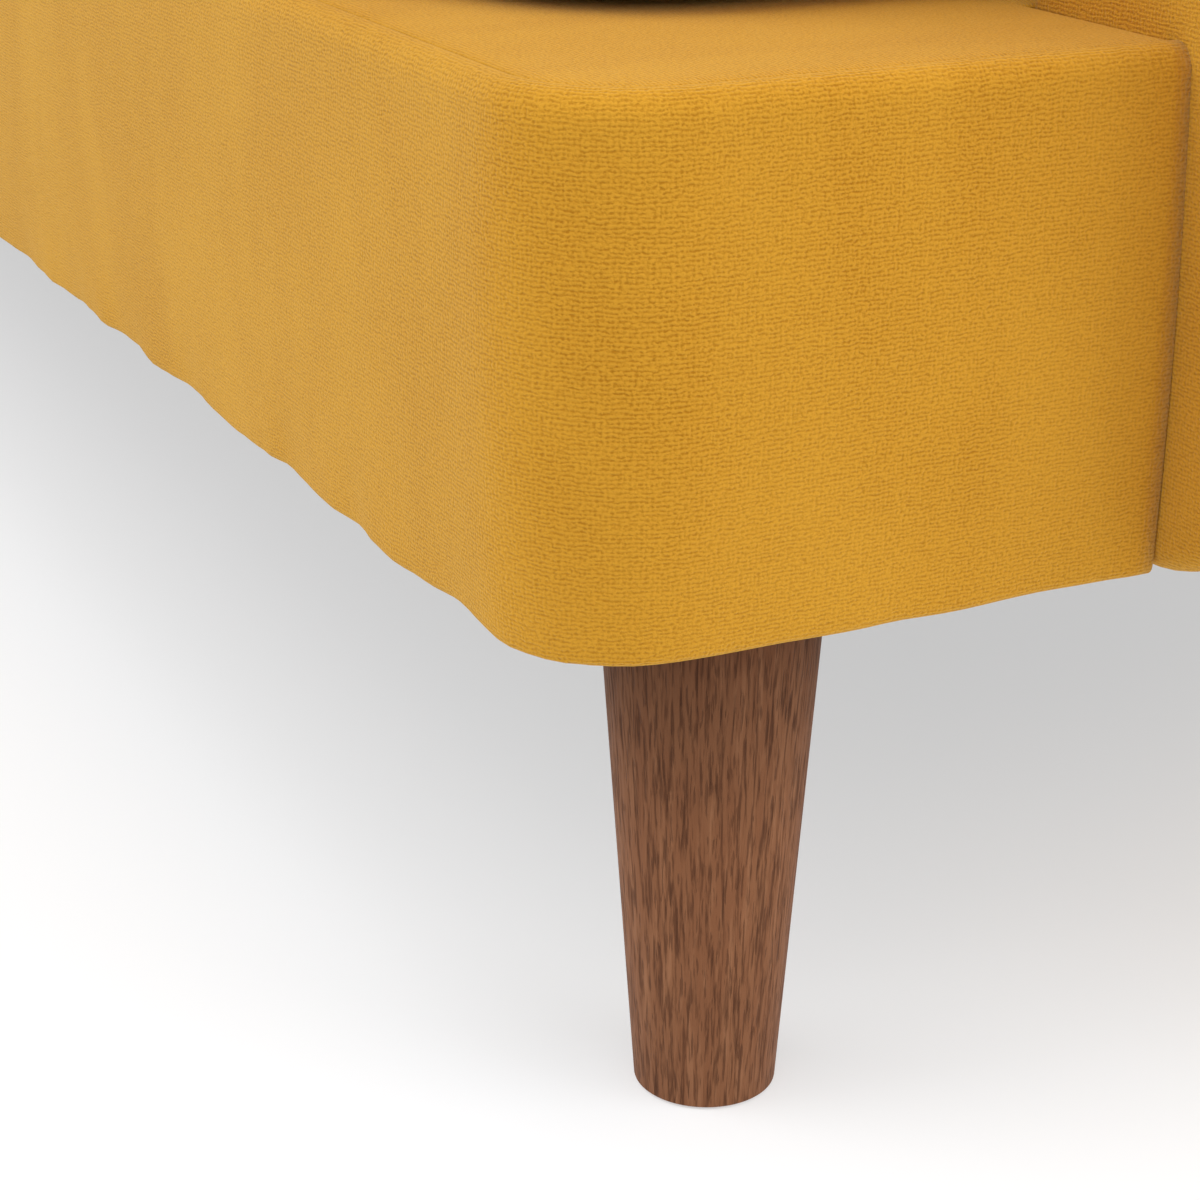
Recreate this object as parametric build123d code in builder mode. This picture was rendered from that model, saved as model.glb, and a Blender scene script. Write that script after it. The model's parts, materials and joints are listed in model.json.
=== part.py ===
"""Two-seat upholstered sofa on tapered wooden legs: frame, springs, covers and loose cushions.

Millimetres. +Z is up, +X runs along the seat and the seat faces -Y.
The origin is on the floor under the middle of the sofa's box.
"""
import os
from math import cos, radians, sin, tan

from build123d import *

# Driving dimensions
WIDTH = 1900.0  # over the arms
DEPTH = 860.0  # front of the base to the top of the raked back
BACK_TOP = 820.0
ARM_TOP = 570.0
LEG_TOP = 151.2  # the leg butts against the dust cover
BASE_BOTTOM = 150.0
DECK_TOP = 294.0
BASE_WIDTH = 1800.0  # the base in front of the arms is narrower than the sofa
ARM_SETBACK = 180.0  # from the base's front to the arm's front
ARM_WIDTH = 124.0
BACK_THICK = 90.0
RAKE = 7.0  # degrees the back leans
BASE_CORNER = 40.0  # plan radius of the base's front corners

# Layers
VELVET = 2.0
FOAM_WRAP = 10.0
BASE_FOAM = 8.0
BOARD = 22.0
DUST_COVER = 0.8
FLANGE = 12.0  # velvet turned under the base

# Legs and their fixings
LEG_TOP_R = 30.9
LEG_FOOT_R = 20.2
LEG_INSET_X = 45.8  # leg centre from the base's side
LEG_INSET_Y = 68.7  # leg centre from the base's front
REAR_LEG = (770.0, 285.0)
CENTRE_LEG_Y = -60.0
FOOT_GAP = 0.6  # the foot stands this far off the floor, on its glide
GLIDE_R = 14.0
GLIDE_THICK = 4.0
BOLT_R = 4.0
BOLT_HOLE_R = 4.2
BOLT_HEAD_R = 9.0
BOLT_HEAD = 5.0
LEG_BOLT_DEPTH = 40.0
BLOCK_HEIGHT = 38.0

# Springs
SPRINGS = 8
WIRE_R = 1.9
SPRING_WIDTH = 54.0
SPRING_STEP = 30.0  # from one cross run of the wire to the next
SPRING_BEND = 14.0
CLIP_SHEET = 1.2
CLIP_WIDTH = 18.0
TIE_R = 1.5
TIE_YS = (-190.0, 40.0)

# Cushions
CUSHION_GAP = 2.0
SEAT_FRONT_INSET = 23.0
SEAT_THICK = 150.0
SEAT_EDGE = 52.0
SEAT_CORNER = 80.0
BACK_CUSHION_THICK = 150.0
BACK_CUSHION_TALL = 395.0
BACK_EDGE = 50.0
BACK_CORNER = 70.0
REST_GAP = 0.5  # between a cushion and what it rests on

# Worked-out positions
FRONT_Y = -DEPTH / 2
ARM_FRONT_Y = FRONT_Y + ARM_SETBACK
ARM_OUT_X = WIDTH / 2
ARM_IN_X = ARM_OUT_X - ARM_WIDTH
BASE_SIDE_X = BASE_WIDTH / 2
SKIN = VELVET + FOAM_WRAP
BASE_SKIN = VELVET + BASE_FOAM
FRAME_BOTTOM = BASE_BOTTOM + VELVET
FRAME_TOP = 268.0
RAIL_FRONT_Y = FRONT_Y + BASE_SKIN
RAIL_IN_Y = RAIL_FRONT_Y + BOARD
REAR_RAIL_Y = 312.0
SPRING_RAIL_Y = 238.0
SPRING_RAIL_HEIGHT = 60.0
DECK_REAR_Y = 271.0
FELT_BOTTOM = 275.0
FELT = 3.0
FOAM_BOTTOM = FELT_BOTTOM + FELT
DECK_COVER_BOTTOM = DECK_TOP - VELVET
WING_RAIL_X = BASE_SIDE_X - BASE_SKIN
CENTRE_RAIL = (44.0, 54.0)
CLIP_BOTTOM = FRAME_TOP
WIRE_Z = CLIP_BOTTOM + CLIP_SHEET + WIRE_R
ARM_BOARD = 25.0
ARM_RAIL = 45.0
ARM_TOP_RAIL = 20.0
HARDBOARD = 3.0
ARM_REAR_BOARD_Y = 215.0
ARM_BOLT_YS = (-150.0, 150.0)
ARM_BOLT_Z = BASE_BOTTOM + SKIN + ARM_RAIL / 2
ARM_BOLT_LENGTH = 66.0
BACK_POST = 44.0
BACK_FRAME_THICK = 45.0
BACK_RAIL = 50.0
BACK_BOLT_XS = (-600.0, -200.0, 200.0, 600.0)
STRAP = 60.0
STRAP_THICK = 1.8
STRAPS = 8

SLOPE = tan(radians(RAKE))
BACK_REAR_BOTTOM_Y = DEPTH / 2 - SLOPE * (BACK_TOP - BASE_BOTTOM)

LEGS = {
    "front_left_leg": (-BASE_SIDE_X + LEG_INSET_X, FRONT_Y + LEG_INSET_Y),
    "front_right_leg": (BASE_SIDE_X - LEG_INSET_X, FRONT_Y + LEG_INSET_Y),
    "rear_left_leg": (-REAR_LEG[0], REAR_LEG[1]),
    "rear_right_leg": REAR_LEG,
    "centre_leg": (0.0, CENTRE_LEG_Y),
}
SIDES = {"left": -1, "right": 1}

os.makedirs("parts", exist_ok=True)


def save(part, name):
    """Label one sub-part and write its STEP file."""
    part.label = name
    export_step(part, f"parts/{name}.step")


def board(name, low, high, holes=()):
    """A straight board between two corners, with vertical or sideways bolt holes."""
    size = [b - a for a, b in zip(low, high)]
    middle = [(a + b) / 2 for a, b in zip(low, high)]
    with BuildPart() as piece:
        with Locations(tuple(middle)):
            Box(*size)
        for spot, turn in holes:
            with Locations(Location(spot, turn)):
                Cylinder(BOLT_HOLE_R, 2 * max(size), mode=Mode.SUBTRACT)
    save(piece.part, name)


UPRIGHT = (0, 0, 0)
SIDEWAYS = (0, 90, 0)


# The base frame: solid boards, butted and screwed, with its front corners rounded
def round_board(name, spans, low_y, high_y):
    """Boards of the base's front part, rounded where they reach its corners."""
    with BuildPart() as piece:
        for low_x, high_x in spans:
            with BuildSketch(Plane.XY.offset(FRAME_BOTTOM)):
                base_plan(BASE_SKIN, ARM_FRONT_Y)
                with Locations(((low_x + high_x) / 2, (low_y + high_y) / 2)):
                    Rectangle(high_x - low_x, high_y - low_y, mode=Mode.INTERSECT)
            extrude(amount=FRAME_TOP - FRAME_BOTTOM)
    save(piece.part, name)


def base_frame():
    """Rails of the base, with the short wing frames in front of the arms."""
    rear_holes = [((x, REAR_RAIL_Y + BOARD / 2, FRAME_TOP), UPRIGHT) for x in BACK_BOLT_XS]
    round_board("front_rail", [(-WING_RAIL_X, WING_RAIL_X)], RAIL_FRONT_Y, RAIL_IN_Y)
    board(
        "rear_rail",
        (-ARM_IN_X, REAR_RAIL_Y, FRAME_BOTTOM),
        (ARM_IN_X, REAR_RAIL_Y + BOARD, FRAME_TOP),
        rear_holes,
    )
    board(
        "spring_rail",
        (-ARM_IN_X + BOARD, SPRING_RAIL_Y, FRAME_TOP - SPRING_RAIL_HEIGHT),
        (ARM_IN_X - BOARD, SPRING_RAIL_Y + BOARD, FRAME_TOP),
    )
    board(
        "centre_rail",
        (-CENTRE_RAIL[0] / 2, RAIL_IN_Y, FRAME_BOTTOM),
        (CENTRE_RAIL[0] / 2, REAR_RAIL_Y, FRAME_BOTTOM + CENTRE_RAIL[1]),
        [((0, CENTRE_LEG_Y, FRAME_BOTTOM), UPRIGHT)],
    )
    for word, side in SIDES.items():
        rail_x = sorted((side * (ARM_IN_X - BOARD), side * ARM_IN_X))
        wing_x = sorted((side * (WING_RAIL_X - BOARD), side * WING_RAIL_X))
        arm_holes = [((rail_x[0], y, ARM_BOLT_Z), SIDEWAYS) for y in ARM_BOLT_YS]
        board(
            f"{word}_side_rail",
            (rail_x[0], RAIL_IN_Y, FRAME_BOTTOM),
            (rail_x[1], REAR_RAIL_Y, FRAME_TOP),
            arm_holes,
        )
        round_board(f"{word}_wing_rail", [wing_x], RAIL_IN_Y, ARM_FRONT_Y)
    gaps = [sorted((side * ARM_IN_X, side * (WING_RAIL_X - BOARD))) for side in SIDES.values()]
    round_board("wing_back_rails", gaps, ARM_FRONT_Y - BOARD, ARM_FRONT_Y)


def leg_blocks():
    """Hardwood blocks in the four corners that take the leg bolts."""
    front = (WING_RAIL_X - BOARD - ARM_IN_X, 96.0, BLOCK_HEIGHT)
    rear = (84.0, 80.0, BLOCK_HEIGHT)
    mid_z = FRAME_BOTTOM + BLOCK_HEIGHT / 2
    with BuildPart() as blocks:
        for side in SIDES.values():
            front_x = side * (ARM_IN_X + front[0] / 2)
            rear_x = side * (ARM_IN_X - BOARD - rear[0] / 2)
            with Locations((front_x, RAIL_IN_Y + front[1] / 2, mid_z)):
                Box(*front)
            with Locations((rear_x, REAR_RAIL_Y - rear[1] / 2, mid_z)):
                Box(*rear)
        for x, y in list(LEGS.values())[:4]:
            with Locations((x, y, mid_z)):
                Cylinder(BOLT_HOLE_R, 2 * BLOCK_HEIGHT, mode=Mode.SUBTRACT)
    save(blocks.part, "leg_blocks")


# The legs: turned hardwood with a straight taper, each on a hanger bolt and a recessed glide
def legs():
    """Five tapered legs, their hanger bolts and their foot glides."""
    for name, (x, y) in LEGS.items():
        with BuildPart() as leg:
            with BuildSketch(Plane.XY.offset(FOOT_GAP)):
                with Locations((x, y)):
                    Circle(LEG_FOOT_R)
            with BuildSketch(Plane.XY.offset(LEG_TOP)):
                with Locations((x, y)):
                    Circle(LEG_TOP_R)
            loft()
            with Locations((x, y, LEG_TOP)):
                Cylinder(BOLT_HOLE_R, 2 * LEG_BOLT_DEPTH, mode=Mode.SUBTRACT)
            with Locations((x, y, GLIDE_THICK / 2)):
                Cylinder(GLIDE_R, GLIDE_THICK, mode=Mode.SUBTRACT)
        save(leg.part, name)
    bolt_low = LEG_TOP - LEG_BOLT_DEPTH
    bolt_high = FRAME_BOTTOM + BLOCK_HEIGHT
    with BuildPart() as bolts:
        with Locations(*[(x, y, (bolt_low + bolt_high) / 2) for x, y in LEGS.values()]):
            Cylinder(BOLT_R, bolt_high - bolt_low)
    save(bolts.part, "leg_bolts")
    with BuildPart() as glides:
        with Locations(*[(x, y, GLIDE_THICK / 2) for x, y in LEGS.values()]):
            Cylinder(GLIDE_R, GLIDE_THICK)
    save(glides.part, "foot_glides")


# The suspension: sinuous springs from the front rail to the spring rail
SPRING_FRONT_Y = RAIL_FRONT_Y + BOARD / 2
SPRING_BACK_Y = SPRING_RAIL_Y + BOARD / 2
SPRING_PITCH = 2 * (ARM_IN_X - BOARD) / SPRINGS
SPRING_XS = [(i + 0.5) * SPRING_PITCH - ARM_IN_X + BOARD for i in range(SPRINGS)]


def spring(name, x):
    """One flat sinuous spring: cross runs of wire joined by round bends."""
    runs = 2 * round((SPRING_BACK_Y - SPRING_FRONT_Y) / SPRING_STEP / 2)
    step = (SPRING_BACK_Y - SPRING_FRONT_Y) / runs
    points = []
    for i in range(runs + 1):
        y = SPRING_FRONT_Y + i * step
        ends = (x - SPRING_WIDTH / 2, x + SPRING_WIDTH / 2)
        if i % 2:
            ends = ends[::-1]
        points += [(ends[0], y), (ends[1], y)]
    with BuildPart() as wire:
        with BuildLine(Plane.XY.offset(WIRE_Z)) as route:
            FilletPolyline(*points, radius=SPRING_BEND)
        with BuildSketch(Plane(origin=route.line @ 0, z_dir=route.line % 0)):
            Circle(WIRE_R)
        sweep()
    save(wire.part, name)


def spring_fixings():
    """Bent steel clips over the springs' end runs, and two tie wires under the springs."""
    height = 2 * (CLIP_SHEET + WIRE_R)
    length = 9.0
    with BuildPart() as clips:
        for x in SPRING_XS:
            for y, way in ((SPRING_FRONT_Y, 1), (SPRING_BACK_Y, -1)):
                closed = y - way * (WIRE_R + CLIP_SHEET)
                with BuildSketch(Plane.YZ.offset(x - CLIP_WIDTH / 2)):
                    with Locations((closed + way * length / 2, CLIP_BOTTOM + height / 2)):
                        Rectangle(length, height)
                    slot = closed + way * (CLIP_SHEET + length / 2)
                    with Locations((slot, CLIP_BOTTOM + height / 2)):
                        Rectangle(length, 2 * WIRE_R, mode=Mode.SUBTRACT)
                extrude(amount=CLIP_WIDTH)
    save(clips.part, "spring_clips")
    tie_z = WIRE_Z - WIRE_R - TIE_R
    with BuildPart() as ties:
        for y in TIE_YS:
            with Locations(Location((0, y, tie_z), SIDEWAYS)):
                Cylinder(TIE_R, 2 * (ARM_IN_X - BOARD))
    save(ties.part, "spring_tie_wires")


# The base's soft layers, all cut to the same plan
def base_plan(inset, rear_y):
    """Plan of the base: wings with round front corners, then the deck between the arms."""
    wing_depth = ARM_SETBACK - inset
    with Locations((0, ARM_FRONT_Y - wing_depth / 2)):
        Rectangle(2 * (BASE_SIDE_X - inset), wing_depth)
    fillet(vertices().group_by(Axis.Y)[0], BASE_CORNER - inset)
    if rear_y > ARM_FRONT_Y:
        with Locations((0, (ARM_FRONT_Y + rear_y) / 2)):
            Rectangle(2 * ARM_IN_X, rear_y - ARM_FRONT_Y)


def base_layer(name, inset, low, high, rear_y):
    """One flat layer of the deck, or the dust cover, without holes."""
    with BuildPart() as layer:
        with BuildSketch(Plane.XY.offset(low)):
            base_plan(inset, rear_y)
        extrude(amount=high - low)
        if name == "dust_cover":
            for x, y in LEGS.values():
                with Locations((x, y, low)):
                    Cylinder(BOLT_HOLE_R, BOARD, mode=Mode.SUBTRACT)
    save(layer.part, name)


def base_wrap(name, outer, inner, low, high, flange):
    """A wrap round the base's front and wing sides, open towards the arms."""
    with BuildPart() as wrap:
        with BuildSketch(Plane.XY.offset(low)):
            base_plan(outer, ARM_FRONT_Y)
        extrude(amount=high - low)
        for inset, cut_low in ((inner, low + flange),) + (((FLANGE, low),) if flange else ()):
            depth = ARM_SETBACK - inset + BOARD
            with BuildSketch(Plane.XY.offset(cut_low)):
                with Locations((0, FRONT_Y + inset + depth / 2)):
                    Rectangle(2 * (BASE_SIDE_X - inset), depth)
                fillet(vertices().group_by(Axis.Y)[0], BASE_CORNER - inset)
            extrude(amount=high - cut_low, mode=Mode.SUBTRACT)
    save(wrap.part, name)


def base_soft_layers():
    """Felt, foams and velvet of the base."""
    base_wrap("base_padding", VELVET, BASE_SKIN, FRAME_BOTTOM, FOAM_BOTTOM, 0)
    base_wrap("base_border_cover", 0, VELVET, BASE_BOTTOM, DECK_COVER_BOTTOM, VELVET)
    base_layer("insulator_felt", BASE_SKIN, FELT_BOTTOM, FOAM_BOTTOM, DECK_REAR_Y)
    base_layer("deck_foam", VELVET, FOAM_BOTTOM, DECK_COVER_BOTTOM, DECK_REAR_Y)
    base_layer("deck_cover", 0, DECK_COVER_BOTTOM, DECK_TOP, DECK_REAR_Y)
    base_layer("dust_cover", FLANGE, FRAME_BOTTOM - DUST_COVER, FRAME_BOTTOM, REAR_RAIL_Y + BOARD)


# The arms: shaped end boards joined by rails, wrapped in foam and velvet
ARM_ROUND = 30.0  # upper edges, in front view
ARM_LOWER_ROUND = 60.0  # lower outer edge, in front view
ARM_FRONT_ROUND = 7.0


def arm_front_view(side, inset):
    """Front view of the arm: rounded at the top and more at the lower outer edge."""
    with Locations((side * (ARM_IN_X + ARM_OUT_X) / 2, (BASE_BOTTOM + ARM_TOP) / 2)):
        Rectangle(ARM_WIDTH - 2 * inset, ARM_TOP - BASE_BOTTOM - 2 * inset)
    fillet(vertices().group_by(Axis.Y)[-1], ARM_ROUND - inset)
    lower = vertices().group_by(Axis.Y)[0].sort_by(Axis.X)
    fillet(lower[-1] if side > 0 else lower[0], ARM_LOWER_ROUND - inset)


def behind_back():
    """Side view of all that lies behind the back's front face."""
    low = 0.0
    high = BACK_TOP
    far = DEPTH
    Polygon(
        (back_front_y(low), low),
        (back_front_y(high), high),
        (far, high),
        (far, low),
        align=None,
    )


def back_front_y(z):
    """The back's front face at height z."""
    return BACK_REAR_BOTTOM_Y - BACK_THICK + SLOPE * (z - BASE_BOTTOM)


def arm_block(side, inset):
    """The arm's shape at an inset, with a rounded front, cut to meet the raked back."""
    with BuildPart() as block:
        with BuildSketch(Plane.XZ.offset(-(ARM_FRONT_Y + inset))):
            arm_front_view(side, inset)
        extrude(amount=-DEPTH)
        if inset < ARM_FRONT_ROUND:
            fillet(faces().sort_by(Axis.Y)[0].edges(), ARM_FRONT_ROUND - inset)
        with BuildSketch(Plane.YZ):
            behind_back()
        extrude(amount=side * WIDTH, mode=Mode.SUBTRACT)
    return block.part


def arm_shell(name, side, outer, inner):
    """A wrap of the arm between two insets, with holes for the bolts from the base."""
    outside = arm_block(side, outer)
    inside = arm_block(side, inner)
    with BuildPart() as shell:
        add(outside)
        add(inside, mode=Mode.SUBTRACT)
        for y in ARM_BOLT_YS:
            with Locations(Location((side * ARM_IN_X, y, ARM_BOLT_Z), SIDEWAYS)):
                Cylinder(BOLT_HOLE_R, ARM_RAIL, mode=Mode.SUBTRACT)
    save(shell.part, name)


def arm(word, side):
    """One arm: boards, rails, hardboard, foam and velvet."""
    in_x = ARM_IN_X + SKIN
    out_x = ARM_OUT_X - SKIN
    front_y = ARM_FRONT_Y + SKIN
    bottom_z = BASE_BOTTOM + SKIN
    top_z = ARM_TOP - SKIN
    for place, y in (("front", front_y), ("rear", ARM_REAR_BOARD_Y)):
        with BuildPart() as end:
            with BuildSketch(Plane.XZ.offset(-y)):
                arm_front_view(side, SKIN)
            extrude(amount=-ARM_BOARD)
        save(end.part, f"{word}_arm_{place}_board")
    near_y = front_y + ARM_BOARD
    far_y = ARM_REAR_BOARD_Y
    low_x = sorted((side * in_x, side * (in_x + ARM_RAIL)))
    skin_x = sorted((side * (out_x - HARDBOARD), side * out_x))
    with BuildPart() as rail:
        with BuildSketch(Plane.XZ.offset(-near_y)):
            arm_front_view(side, SKIN)
            with Locations((side * (in_x + out_x) / 2, top_z - ARM_TOP_RAIL / 2)):
                Rectangle(ARM_WIDTH, ARM_TOP_RAIL, mode=Mode.INTERSECT)
        extrude(amount=near_y - far_y)
    save(rail.part, f"{word}_arm_top_rail")
    board(
        f"{word}_arm_bottom_rail",
        (low_x[0], near_y, bottom_z),
        (low_x[1], far_y, bottom_z + ARM_RAIL),
        [((low_x[0], y, ARM_BOLT_Z), SIDEWAYS) for y in ARM_BOLT_YS],
    )
    board(
        f"{word}_arm_hardboard",
        (skin_x[0], near_y, bottom_z + ARM_LOWER_ROUND),
        (skin_x[1], far_y, top_z - ARM_ROUND),
    )
    arm_shell(f"{word}_arm_padding", side, VELVET, SKIN)
    arm_shell(f"{word}_arm_cover", side, 0, VELVET)


# The back: a raked frame that stands on the base frame, wrapped and covered to the base's foot
def back_side_view(inset, skirt_y):
    """Side view of the back; a skirt of it hangs behind the rear rail down to the base's foot."""
    top = BACK_TOP - inset
    Polygon(
        (back_front_y(FRAME_TOP) + inset, FRAME_TOP),
        (back_front_y(top) + inset, top),
        (back_front_y(top) + BACK_THICK - inset, top),
        (BACK_REAR_BOTTOM_Y - inset, BASE_BOTTOM),
        (BACK_REAR_BOTTOM_Y - skirt_y, BASE_BOTTOM),
        (back_front_y(FRAME_TOP) + BACK_THICK - skirt_y, FRAME_TOP),
        align=None,
    )


def frame_side_view(low, high, near, far):
    """A raked strip of the back between two heights, near and far measured from its front."""
    Polygon(
        (back_front_y(low) + near, low),
        (back_front_y(high) + near, high),
        (back_front_y(high) + far, high),
        (back_front_y(low) + far, low),
        align=None,
    )


def raked(name, spans, low, high, near, far, holes=()):
    """Raked pieces of the back frame over one or more spans of X."""
    with BuildPart() as piece:
        for x_low, x_high in spans:
            with BuildSketch(Plane.YZ.offset(x_low)):
                frame_side_view(low, high, near, far)
            extrude(amount=x_high - x_low)
        for x in holes:
            with Locations((x, REAR_RAIL_Y + BOARD / 2, low)):
                Cylinder(BOLT_HOLE_R, 2 * BACK_RAIL + BOARD, mode=Mode.SUBTRACT)
    save(piece.part, name)


BACK_BOTTOM_RAIL_TOP = FRAME_TOP + BACK_RAIL
BACK_TOP_RAIL_LOW = BACK_TOP - SKIN - BACK_RAIL


def back():
    """Posts, rails, webbing, foam and velvet of the back."""
    out_x = ARM_OUT_X - SKIN
    near = SKIN + STRAP_THICK
    far = near + BACK_FRAME_THICK
    top = BACK_TOP - SKIN
    post_in_x = out_x - BACK_POST
    raked("back_left_post", [(-out_x, -post_in_x)], FRAME_TOP, top, near, far)
    raked("back_right_post", [(post_in_x, out_x)], FRAME_TOP, top, near, far)
    raked("back_centre_post", [(-BOARD / 2, BOARD / 2)], BACK_BOTTOM_RAIL_TOP, BACK_TOP_RAIL_LOW, near, far)
    span = [(-post_in_x, post_in_x)]
    raked("back_bottom_rail", span, FRAME_TOP, BACK_BOTTOM_RAIL_TOP, near, far, BACK_BOLT_XS)
    raked("back_top_rail", span, BACK_TOP_RAIL_LOW, top, near, far)
    pitch = 2 * post_in_x / STRAPS
    centres = [(i + 0.5) * pitch - post_in_x for i in range(STRAPS)]
    straps = [(x - STRAP / 2, x + STRAP / 2) for x in centres]
    raked("back_webbing", straps, FRAME_TOP, top, SKIN, near)
    for name, outer, inner in (("back_padding", VELVET, SKIN), ("back_cover", 0, VELVET)):
        with BuildPart() as shell:
            with BuildSketch(Plane.YZ):
                back_side_view(outer, SKIN)
            extrude(amount=ARM_OUT_X - outer, both=True)
            with BuildSketch(Plane.YZ):
                if inner == SKIN:
                    frame_side_view(FRAME_TOP, BACK_TOP - SKIN, SKIN, BACK_THICK - SKIN)
                else:
                    back_side_view(inner, SKIN)
            extrude(amount=ARM_OUT_X - inner, both=True, mode=Mode.SUBTRACT)
        save(shell.part, name)


def frame_bolts():
    """Bolts through the side rails into the arms, and through the back into the rear rail."""
    back_low = FRAME_TOP - BACK_RAIL
    back_high = BACK_BOTTOM_RAIL_TOP
    with BuildPart() as bolts:
        for side in SIDES.values():
            inside = side * (ARM_IN_X - BOARD)
            for y in ARM_BOLT_YS:
                shank_x = inside + side * ARM_BOLT_LENGTH / 2
                with Locations(Location((shank_x, y, ARM_BOLT_Z), SIDEWAYS)):
                    Cylinder(BOLT_R, ARM_BOLT_LENGTH)
                head_x = inside - side * BOLT_HEAD / 2
                with Locations(Location((head_x, y, ARM_BOLT_Z), SIDEWAYS)):
                    Cylinder(BOLT_HEAD_R, BOLT_HEAD)
        for x in BACK_BOLT_XS:
            y = REAR_RAIL_Y + BOARD / 2
            with Locations((x, y, (back_low + back_high) / 2)):
                Cylinder(BOLT_R, back_high - back_low)
            with Locations((x, y, back_high + BOLT_HEAD / 2)):
                Cylinder(BOLT_HEAD_R, BOLT_HEAD)
    save(bolts.part, "frame_bolts")


# The loose cushions
CUSHION_WIDTH = ARM_IN_X - 1.5 * CUSHION_GAP
CUSHION_MIDDLE = CUSHION_GAP / 2 + CUSHION_WIDTH / 2
SEAT_BOTTOM = DECK_TOP + REST_GAP
SEAT_TOP = SEAT_BOTTOM + SEAT_THICK


def seat_cushion(name, x):
    """A box cushion with full round edges that lies between the arms, on the deck."""
    front = FRONT_Y + SEAT_FRONT_INSET
    rear = DECK_REAR_Y
    with BuildPart() as cushion:
        with BuildSketch(Plane.XY.offset(SEAT_BOTTOM)):
            with Locations((x, (front + rear) / 2)):
                RectangleRounded(CUSHION_WIDTH, rear - front, SEAT_CORNER)
        extrude(amount=SEAT_THICK)
        fillet(faces().filter_by(Axis.Z).edges(), SEAT_EDGE)
    save(cushion.part, name)


def back_cushion(name, x):
    """A box cushion that stands on the seat cushion and leans on the back."""
    lean = radians(RAKE)
    forward = Vector(0, -cos(lean), sin(lean))
    low_z = SEAT_TOP + REST_GAP + BACK_EDGE
    # the lowest point is under the middle of the rear lower edge's round
    up = Vector(0, sin(lean), cos(lean))
    edge_y = back_front_y(low_z) - (BACK_EDGE + REST_GAP) / cos(lean)
    edge = Vector(x, edge_y, low_z)
    corner = edge - forward * BACK_EDGE - up * BACK_EDGE
    middle = corner + up * (BACK_CUSHION_TALL / 2)
    with BuildPart() as cushion:
        with BuildSketch(Plane(origin=middle, x_dir=(1, 0, 0), z_dir=forward)):
            RectangleRounded(CUSHION_WIDTH, BACK_CUSHION_TALL, BACK_CORNER)
        extrude(amount=BACK_CUSHION_THICK)
        fillet(faces().filter_by(GeomType.PLANE).sort_by(SortBy.AREA)[-2:].edges(), BACK_EDGE)
    save(cushion.part, name)


base_frame()
leg_blocks()
legs()
for number, spring_x in enumerate(SPRING_XS, start=1):
    spring(f"seat_spring_{number}", spring_x)
spring_fixings()
base_soft_layers()
for side_word, side_sign in SIDES.items():
    arm(side_word, side_sign)
    seat_cushion(f"{side_word}_seat_cushion", side_sign * CUSHION_MIDDLE)
    back_cushion(f"{side_word}_back_cushion", side_sign * CUSHION_MIDDLE)
back()
frame_bolts()
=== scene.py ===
import json
from math import cos, exp, pi, radians, sin, tan

import bmesh
import bpy
from mathutils import Matrix, Vector, noise


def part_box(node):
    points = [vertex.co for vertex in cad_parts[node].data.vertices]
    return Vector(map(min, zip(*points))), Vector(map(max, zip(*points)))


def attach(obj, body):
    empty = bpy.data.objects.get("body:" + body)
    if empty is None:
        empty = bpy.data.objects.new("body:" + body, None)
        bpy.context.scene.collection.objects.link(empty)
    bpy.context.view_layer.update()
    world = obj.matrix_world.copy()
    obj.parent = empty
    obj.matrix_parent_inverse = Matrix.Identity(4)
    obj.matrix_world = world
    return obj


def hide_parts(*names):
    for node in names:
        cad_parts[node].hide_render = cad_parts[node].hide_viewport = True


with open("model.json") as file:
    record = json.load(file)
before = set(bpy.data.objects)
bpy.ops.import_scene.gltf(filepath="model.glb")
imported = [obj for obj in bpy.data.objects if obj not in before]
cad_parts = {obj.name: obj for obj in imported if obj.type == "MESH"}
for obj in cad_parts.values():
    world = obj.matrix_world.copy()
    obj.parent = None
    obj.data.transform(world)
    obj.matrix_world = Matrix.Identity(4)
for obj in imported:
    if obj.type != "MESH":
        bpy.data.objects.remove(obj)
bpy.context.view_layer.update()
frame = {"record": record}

scene = bpy.context.scene

# The studio: a wide pale floor, a pale sky and four soft lamps. The lens stands close to the
# front corner of the base and looks down over it along the sofa. The floor glows a little, so
# that the space under the sofa stays light.
border_low, border_high = (Vector(corner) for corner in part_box("base_border_cover"))
CORNER_OF_BASE = Vector((border_high.x, border_low.y, 0.0))
LENS_FROM_CORNER = Vector((0.5393, -0.2558, 0.4061))
LENS_TILT = radians(90 - 21.24)
LENS_TURN = radians(63.56)
FLOOR_HALF = 15.0

camera = bpy.data.objects.new("camera", bpy.data.cameras.new("camera"))
camera.data.lens = 80.0
camera.data.sensor_width = 36.0
camera.data.clip_start = 0.01
camera.location = CORNER_OF_BASE + LENS_FROM_CORNER
camera.rotation_euler = (LENS_TILT, 0.0, LENS_TURN)
scene.collection.objects.link(camera)
scene.camera = camera

sky = bpy.data.worlds.new("pale_sky")
sky.use_nodes = True
sky.node_tree.nodes["Background"].inputs["Color"].default_value = (0.97, 0.985, 1.0, 1.0)
sky.node_tree.nodes["Background"].inputs["Strength"].default_value = 0.62
scene.world = sky
scene.view_settings.view_transform = "Standard"


def soft_lamp(name, place, aim, size, watts):
    """A square area lamp at a place, turned towards an aim."""
    lamp = bpy.data.objects.new(name, bpy.data.lights.new(name, "AREA"))
    lamp.data.shape = "SQUARE"
    lamp.data.size = size
    lamp.data.energy = watts
    lamp.location = place
    lamp.rotation_euler = (Vector(aim) - Vector(place)).to_track_quat("-Z", "Y").to_euler()
    scene.collection.objects.link(lamp)


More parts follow.
